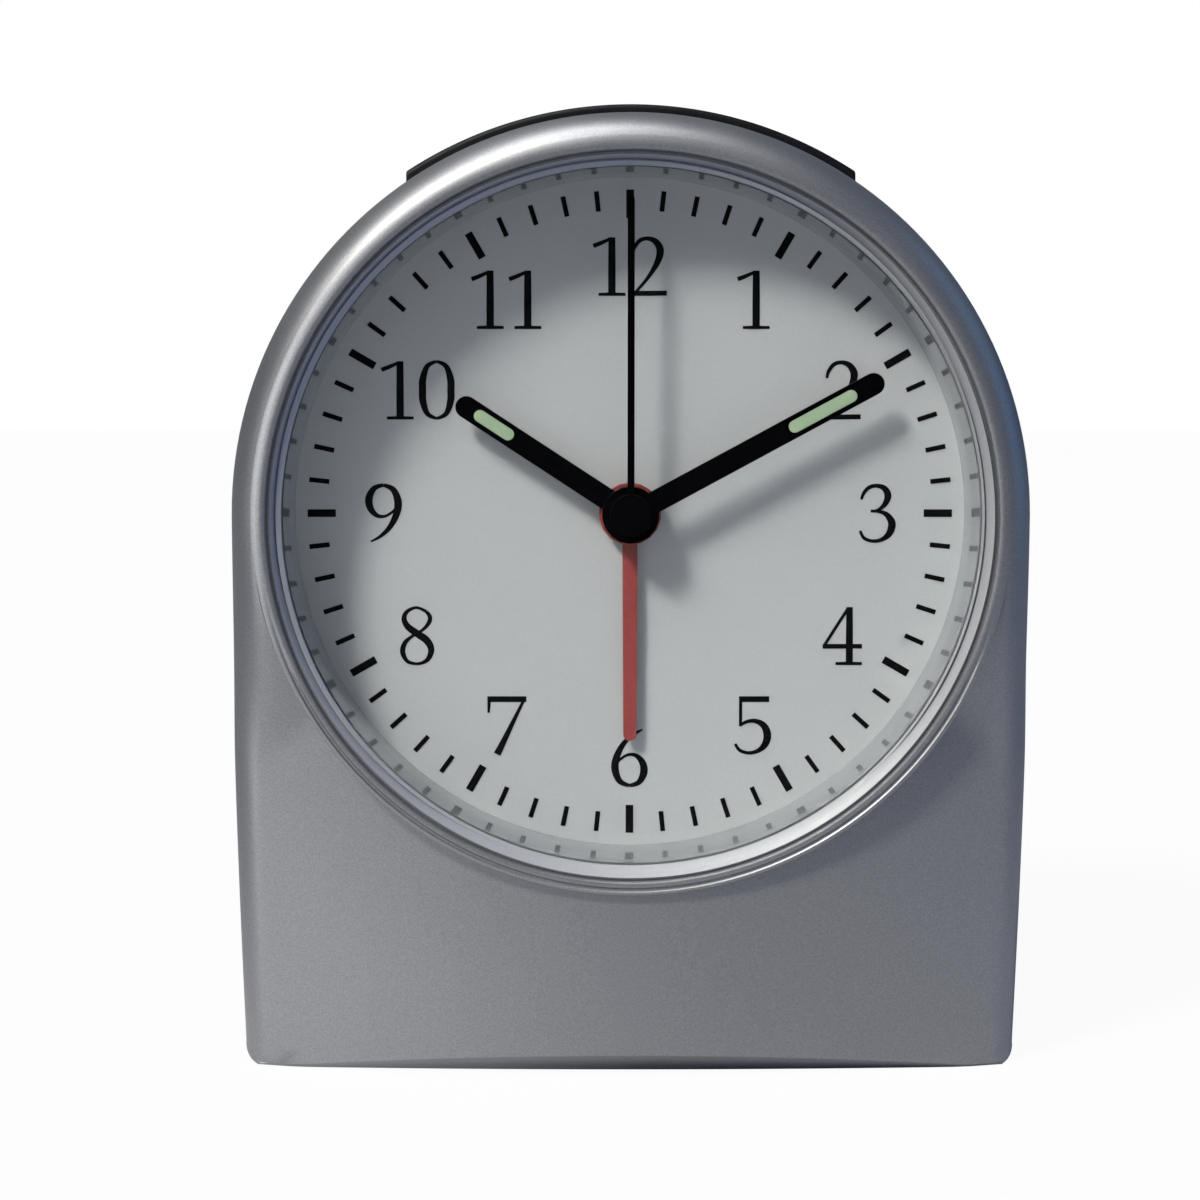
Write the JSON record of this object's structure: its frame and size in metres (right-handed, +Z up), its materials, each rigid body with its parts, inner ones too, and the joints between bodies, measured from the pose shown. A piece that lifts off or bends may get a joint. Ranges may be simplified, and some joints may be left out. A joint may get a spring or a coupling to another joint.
{
  "type": "alarm clock",
  "caption": "Arch-topped table alarm clock with round analogue dial, hands on a gear train, alarm hand, snooze bar on top, setting knob, buttons and battery door at the back",
  "frame": {"origin": "middle of the overall box on the surface that the clock stands on", "axes": "+Z up, -Y is the way the dial faces, +X to the right as seen from the front"},
  "size_m": [0.098, 0.0538, 0.1188],
  "materials": {
    "silver_case": "silver metallic paint, satin",
    "grey_cover": "dark grey moulded plastic, fine grain",
    "clear_lens": "clear polished plastic",
    "silver_ring": "glossy silver",
    "dial_face": "pale grey matt print with black numerals and marks",
    "black_hand": "matt black paint",
    "lume": "pale green luminous paint",
    "red_hand": "matt red paint",
    "black_plastic": "black moulded plastic",
    "white_plastic": "natural white moulded plastic",
    "yellow_plastic": "pale yellow moulded plastic",
    "steel": "bright zinc",
    "magnet": "dark sintered",
    "copper": "enamelled copper wire",
    "ferrite": "dark ferrite",
    "board": "green solder mask",
    "brass_disc": "plain brass",
    "cell": "plain green sleeve"
  },
  "bodies": {
    "case": {"front_case": "silver_case", "back_cover": "grey_cover", "lens": "clear_lens", "dial": "dial_face", "dial_ring": "silver_ring", "movement_housing": "white_plastic", "movement_rear_plate": "white_plastic", "minute_stator": "steel", "minute_coil": "copper", "seconds_stator": "steel", "seconds_coil": "copper", "circuit_board": "board", "control_chip": "black_plastic", "quartz_crystal": "steel", "set_key_switch": "black_plastic", "wave_key_switch": "black_plastic", "reset_key_switch": "black_plastic", "alarm_switch_base": "black_plastic", "antenna_rod": "ferrite", "antenna_coil": "copper", "buzzer": "brass_disc", "snooze_switch": "black_plastic", "battery": "cell", "positive_contact": "steel", "negative_contact": "steel", "case_screw_1": "steel", "case_screw_2": "steel", "case_screw_3": "steel", "case_screw_4": "steel", "movement_screw_1": "steel", "movement_screw_2": "steel"},
    "minute": {"minute_hand": "black_hand", "minute_lume": "lume", "minute_wheel": "white_plastic"},
    "hour": {"hour_hand": "black_hand", "hour_lume": "lume", "hour_wheel": "white_plastic"},
    "motion": {"motion_wheel": "yellow_plastic"},
    "minute_drive": {"minute_drive_wheel": "white_plastic"},
    "minute_motor": {"minute_rotor": "magnet"},
    "second": {"second_hand": "black_hand", "seconds_wheel": "white_plastic"},
    "seconds_drive": {"seconds_drive_wheel": "white_plastic"},
    "seconds_motor": {"seconds_rotor": "magnet"},
    "alarm": {"alarm_hand": "red_hand", "alarm_wheel": "yellow_plastic"},
    "alarm_setting": {"alarm_knob": "black_plastic", "alarm_stem": "white_plastic"},
    "snooze": {"snooze_bar": "black_plastic"},
    "set": {"set_button": "black_plastic"},
    "wave": {"wave_button": "black_plastic"},
    "reset": {"reset_button": "black_plastic"},
    "alarm_switch": {"alarm_slider": "black_plastic"},
    "door": {"battery_door": "grey_cover"}
  },
  "joints": [
    {"name": "minute_turn", "type": "hinge", "parent": "case", "child": "minute", "pos_m": [0, 0, 0.068], "axis": [0, 1, 0], "continuous": true},
    {"name": "hour_turn", "type": "hinge", "parent": "case", "child": "hour", "pos_m": [0, 0, 0.068], "axis": [0, 1, 0], "continuous": true},
    {"name": "motion_turn", "type": "hinge", "parent": "case", "child": "motion", "pos_m": [-0.00342, 0, 0.0774], "axis": [0, 1, 0], "continuous": true},
    {"name": "minute_drive_turn", "type": "hinge", "parent": "case", "child": "minute_drive", "pos_m": [0.01, 0, 0.068], "axis": [0, 1, 0], "continuous": true},
    {"name": "minute_rotor_turn", "type": "hinge", "parent": "case", "child": "minute_motor", "pos_m": [0.014, 0, 0.06107], "axis": [0, 1, 0], "continuous": true},
    {"name": "second_turn", "type": "hinge", "parent": "case", "child": "second", "pos_m": [0, 0, 0.068], "axis": [0, 1, 0], "continuous": true},
    {"name": "seconds_drive_turn", "type": "hinge", "parent": "case", "child": "seconds_drive", "pos_m": [-0.0105, 0, 0.068], "axis": [0, 1, 0], "continuous": true},
    {"name": "seconds_rotor_turn", "type": "hinge", "parent": "case", "child": "seconds_motor", "pos_m": [-0.015, 0, 0.06021], "axis": [0, 1, 0], "continuous": true},
    {"name": "alarm_knob_turn", "type": "hinge", "parent": "case", "child": "alarm_setting", "pos_m": [-0.00167, 0, 0.05612], "axis": [0, 1, 0], "continuous": true},
    {"name": "alarm_turn", "type": "hinge", "parent": "case", "child": "alarm", "pos_m": [0, 0, 0.068], "axis": [0, 1, 0], "continuous": true},
    {"name": "snooze_press", "type": "slide", "parent": "case", "child": "snooze", "axis": [0, 0, -1], "range_m": [0, 0.0012], "stiffness_N_per_m": 800, "springref_m": -0.001},
    {"name": "set_press", "type": "slide", "parent": "case", "child": "set", "axis": [0, -1, 0], "range_m": [0, 0.001], "stiffness_N_per_m": 500, "springref_m": -0.0008},
    {"name": "wave_press", "type": "slide", "parent": "case", "child": "wave", "axis": [0, -1, 0], "range_m": [0, 0.001], "stiffness_N_per_m": 500, "springref_m": -0.0008},
    {"name": "reset_press", "type": "slide", "parent": "case", "child": "reset", "axis": [0, -1, 0], "range_m": [0, 0.001], "stiffness_N_per_m": 500, "springref_m": -0.0008},
    {"name": "alarm_switch_slide", "type": "slide", "parent": "case", "child": "alarm_switch", "axis": [1, 0, 0], "range_m": [0, 0.004]},
    {"name": "battery_door_swing", "type": "hinge", "parent": "case", "child": "door", "pos_m": [0, 0.02305, 0.0123], "axis": [-1, 0, 0], "range_deg": [0, 95]}
  ],
  "couplings": [
    {"joint": "hour_turn", "follows": "minute_turn", "ratio": 0.083333},
    {"joint": "motion_turn", "follows": "minute_turn", "ratio": -0.33333},
    {"joint": "minute_drive_turn", "follows": "minute_turn", "ratio": -4},
    {"joint": "minute_rotor_turn", "follows": "minute_turn", "ratio": 12},
    {"joint": "seconds_drive_turn", "follows": "second_turn", "ratio": -6},
    {"joint": "seconds_rotor_turn", "follows": "second_turn", "ratio": 30},
    {"joint": "alarm_turn", "follows": "alarm_knob_turn", "ratio": -0.5}
  ]
}
